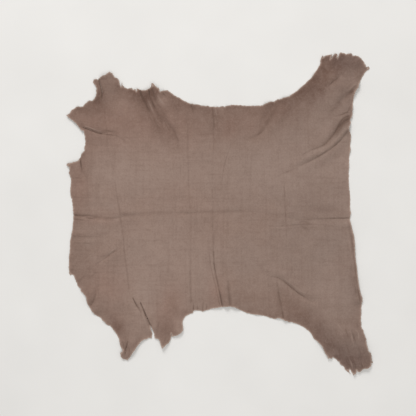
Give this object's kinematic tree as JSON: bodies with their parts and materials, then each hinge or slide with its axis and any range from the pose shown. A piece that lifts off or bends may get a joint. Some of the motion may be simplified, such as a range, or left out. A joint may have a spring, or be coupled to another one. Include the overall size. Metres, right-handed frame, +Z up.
{
  "type": "leather hide",
  "caption": "Whole tanned skin lying flat: a thin leather sheet with an irregular cut edge, shanks at its corners and low creased folds.",
  "frame": {"origin": "middle of the outline's box, on the surface that the hide lies on", "axes": "+X from the neck end to the rump along the spine, +Y across the hide, +Z up off the surface, out of the napped side"},
  "size_m": [0.9185, 0.9675, 0.0125],
  "materials": {
    "leather": "dry napped nubuck, matt taupe brown, with a paler raw cut edge"
  },
  "bodies": {
    "root": {"hide": "leather"}
  },
  "joints": []
}
